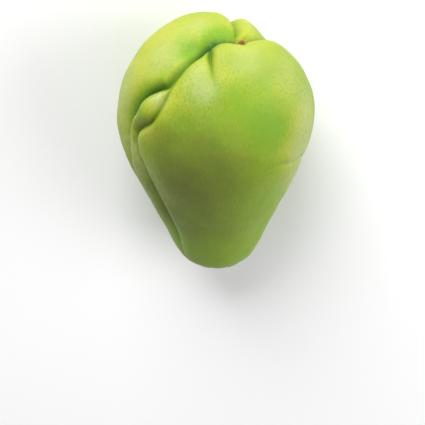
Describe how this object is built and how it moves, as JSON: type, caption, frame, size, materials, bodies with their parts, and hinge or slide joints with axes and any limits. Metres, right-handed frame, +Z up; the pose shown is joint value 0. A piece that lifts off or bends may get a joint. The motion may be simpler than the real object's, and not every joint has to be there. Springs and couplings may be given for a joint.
{
  "type": "chayote squash",
  "caption": "Whole chayote squash, pear-shaped, with deep folds that meet at the dried flower scar on its blossom end, lying on its flatter back as picked.",
  "frame": {"origin": "middle of the bounding box's bottom face, on the surface that the squash lies on", "axes": "+Z up from that surface, +Y along the squash towards the blossom end with the folds, +X to its side"},
  "size_m": [0.097, 0.1438, 0.0824],
  "materials": {
    "skin": "waxy green skin with a satin sheen",
    "dried_flower": "dry, brown and matte"
  },
  "bodies": {
    "root": {"chayote_squash": "skin", "flower_remnant": "dried_flower"}
  },
  "joints": []
}
